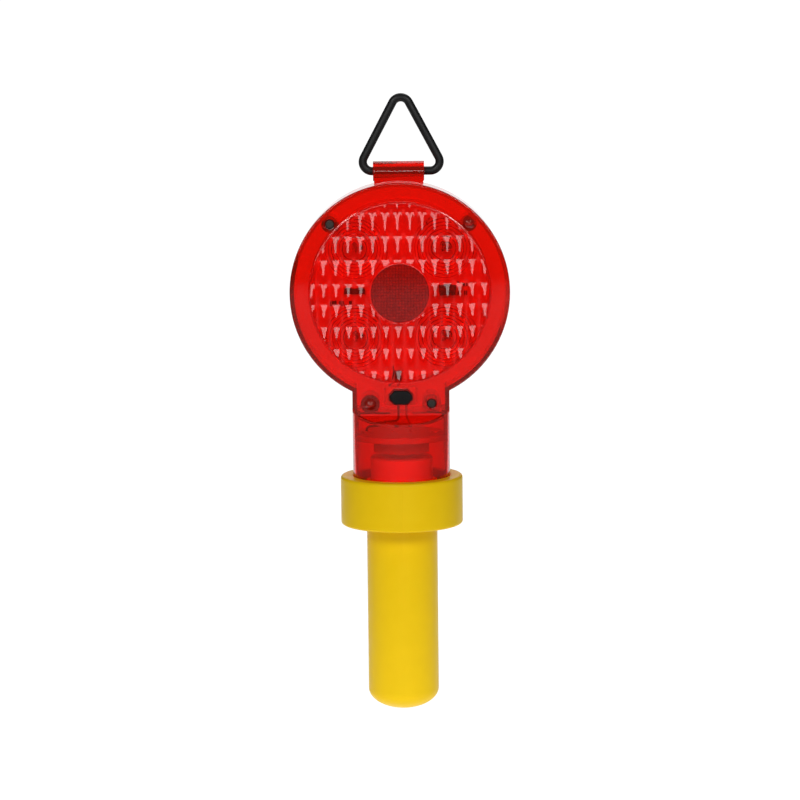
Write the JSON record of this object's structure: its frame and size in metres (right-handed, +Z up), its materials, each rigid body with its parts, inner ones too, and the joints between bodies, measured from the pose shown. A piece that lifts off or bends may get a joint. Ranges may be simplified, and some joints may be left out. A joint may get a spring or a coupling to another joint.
{
  "type": "traffic baton light",
  "caption": "Hand-held and cone-top warning light: double-sided round red lamp head with hanging ring, on a neck that screws into a battery handle with a seating collar.",
  "frame": {"origin": "lowest point of the handle's domed end, on the handle's axis", "axes": "+Z up along the handle, front lens and button face -Y, +X to the right seen from the front"},
  "size_m": [0.12, 0.0672, 0.3406],
  "materials": {
    "yellow": "satin moulded",
    "plated": "nickel-plated sheet",
    "spring": "plated spring wire",
    "cell": "printed can with plain steel ends",
    "seal": "matte",
    "red_shell": "clear tinted, polished",
    "red_lens": "clear tinted, fluted and ringed",
    "reflex": "clear tinted, prismatic",
    "carrier": "moulded",
    "rivet": "plated",
    "board": "white solder mask",
    "lamp_dome": "clear dome",
    "component": "moulded",
    "solder": "bright",
    "black": "satin",
    "switch_case": "moulded nylon",
    "lead_red": "insulation",
    "lead_black": "insulation",
    "screw": "zinc-plated",
    "ring": "satin black coating"
  },
  "bodies": {
    "handle": {"handle_body": "yellow", "spring_plate": "plated", "battery_spring": "spring", "earth_strip": "plated", "battery_lower": "cell", "battery_upper": "cell"},
    "seal": {"neck_seal": "seal"},
    "lamp": {"front_shell": "red_shell", "rear_shell": "red_shell", "front_lens": "red_lens", "rear_lens": "red_lens", "front_reflex": "reflex", "rear_reflex": "reflex", "contact_carrier": "carrier", "positive_contact": "plated", "ring_contact": "plated", "contact_rivets": "rivet", "led_board": "board", "front_leds": "lamp_dome", "rear_leds": "lamp_dome", "board_components": "component", "solder_pads": "solder", "switch_body": "switch_case", "switch_terminals": "rivet", "switch_spring": "spring", "wire_positive": "lead_red", "wire_negative": "lead_black", "wire_switch": "lead_black", "front_screws": "screw", "rear_screws": "screw"},
    "button": {"switch_button": "black"},
    "ring": {"hanging_ring": "ring"}
  },
  "joints": [
    {"name": "lamp_rise", "type": "slide", "parent": "handle", "child": "seal", "axis": [0, 0, 1], "range_m": [0, 0.0081]},
    {"name": "lamp_turn", "type": "hinge", "parent": "seal", "child": "lamp", "pos_m": [0, 0, 0.115], "axis": [0, 0, 1], "range_deg": [0, 360]},
    {"name": "button_press", "type": "slide", "parent": "lamp", "child": "button", "axis": [0, 1, 0], "range_m": [0, 0.0015], "stiffness_N_per_m": 800, "springref_m": -0.001, "deforming": ["switch_spring"]},
    {"name": "ring_swing", "type": "hinge", "parent": "lamp", "child": "ring", "pos_m": [0, 0, 0.2984], "axis": [1, 0, 0], "range_deg": [-95, 95]}
  ],
  "couplings": [
    {"joint": "lamp_rise", "follows": "lamp_turn", "m_per_rad": 0.0012732}
  ]
}
